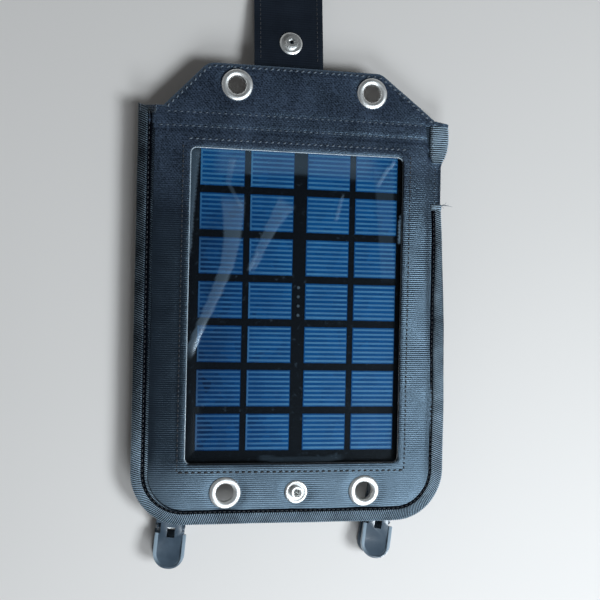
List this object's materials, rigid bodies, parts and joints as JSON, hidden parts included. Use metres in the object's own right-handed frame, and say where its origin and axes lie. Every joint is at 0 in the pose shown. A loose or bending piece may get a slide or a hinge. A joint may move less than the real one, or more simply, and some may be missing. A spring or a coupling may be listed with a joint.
{
  "type": "solar panel",
  "caption": "Hanging solar charger pouch with a clear window over a rigid cell panel, lashing eyelets, a folding snap hanger strap and sprung clips",
  "frame": {"origin": "below the centre of the window, on the flat back that the pouch lies on", "axes": "+Y from the clips towards the hanger strap, +Z out of the window, +X to the right seen from the front"},
  "size_m": [0.1726, 0.3934, 0.0162],
  "materials": {
    "pouch_fabric": "woven synthetic, low sheen",
    "binding_tape": "ribbed tape",
    "webbing": "woven webbing",
    "clear_film": "flexible clear film",
    "clear_resin": "glossy clear resin",
    "solar_cell": "crystalline silicon",
    "panel_black": "smooth",
    "foam": "closed-cell foam",
    "tinned": "tinned",
    "black_plastic": "matte",
    "clip_plastic": "glossy",
    "green_board": "solder-masked board",
    "component_tan": "matte",
    "plated_metal": "nickel plated",
    "spring_steel": "satin",
    "copper": "bare"
  },
  "bodies": {
    "pouch": {"front_panel": "pouch_fabric", "head_yoke": "pouch_fabric", "back_rim": "pouch_fabric", "back_pocket": "pouch_fabric", "window_film": "clear_film", "edge_binding": "binding_tape", "upper_binding": "binding_tape", "foam_pad": "foam", "panel_board": "panel_black", "panel_resin": "clear_resin", "test_pads": "tinned", "junction_box": "black_plastic", "junction_box_lid": "black_plastic", "circuit_board": "green_board", "output_socket": "plated_metal", "panel_leads": "copper", "choke": "black_plastic", "diode": "black_plastic", "capacitor": "component_tan", "eyelets": "plated_metal", "eyelet_washers": "plated_metal", "front_snap_stud": "plated_metal", "front_snap_post": "plated_metal", "cell_row_1": "solar_cell", "cell_row_2": "solar_cell", "cell_row_3": "solar_cell", "cell_row_4": "solar_cell", "cell_row_5": "solar_cell", "cell_row_6": "solar_cell", "cell_row_7": "solar_cell", "strap_root": "webbing", "left_clip_tab": "webbing", "left_clip_rivet": "plated_metal", "right_clip_tab": "webbing", "right_clip_rivet": "plated_metal"},
    "strap_lower": {"strap_lower": "webbing", "strap_snap_stud": "plated_metal", "strap_snap_post": "plated_metal"},
    "strap_tip": {"strap_tip": "webbing", "strap_snap_socket": "plated_metal", "strap_snap_cap": "plated_metal"},
    "left_clip_lever": {"left_clip_lever": "clip_plastic", "left_clip_pin": "spring_steel", "left_clip_spring": "spring_steel"},
    "left_clip_jaw": {"left_clip_jaw": "clip_plastic"},
    "right_clip_lever": {"right_clip_lever": "clip_plastic", "right_clip_pin": "spring_steel", "right_clip_spring": "spring_steel"},
    "right_clip_jaw": {"right_clip_jaw": "clip_plastic"}
  },
  "joints": [
    {"name": "strap_fold_base", "type": "hinge", "parent": "pouch", "child": "strap_lower", "pos_m": [-0.006, 0.1306, 0.0104], "axis": [1, 0, 0], "range_deg": [-90, 55]},
    {"name": "strap_fold_middle", "type": "hinge", "parent": "strap_lower", "child": "strap_tip", "pos_m": [-0.006, 0.193, 0.00295], "axis": [1, 0, 0], "range_deg": [0, 171.23]},
    {"name": "left_clip_swivel", "type": "hinge", "parent": "pouch", "child": "left_clip_lever", "pos_m": [-0.0628, -0.107, 0.0071], "axis": [0, 0, 1], "range_deg": [-19, 31]},
    {"name": "left_clip_open", "type": "hinge", "parent": "left_clip_lever", "child": "left_clip_jaw", "pos_m": [-0.06405, -0.11893, 0.0042], "axis": [-0.9945, 0.1045, 0], "range_deg": [0, 20], "stiffness_Nm_per_rad": 0.3, "springref_deg": -28.65, "deforming": ["left_clip_spring"]},
    {"name": "right_clip_swivel", "type": "hinge", "parent": "pouch", "child": "right_clip_lever", "pos_m": [0.0528, -0.105, 0.0071], "axis": [0, 0, 1], "range_deg": [-15, 35]},
    {"name": "right_clip_open", "type": "hinge", "parent": "right_clip_lever", "child": "right_clip_jaw", "pos_m": [0.05072, -0.11682, 0.0042], "axis": [-0.9848, 0.1736, 0], "range_deg": [0, 20], "stiffness_Nm_per_rad": 0.3, "springref_deg": -28.65, "deforming": ["right_clip_spring"]}
  ]
}
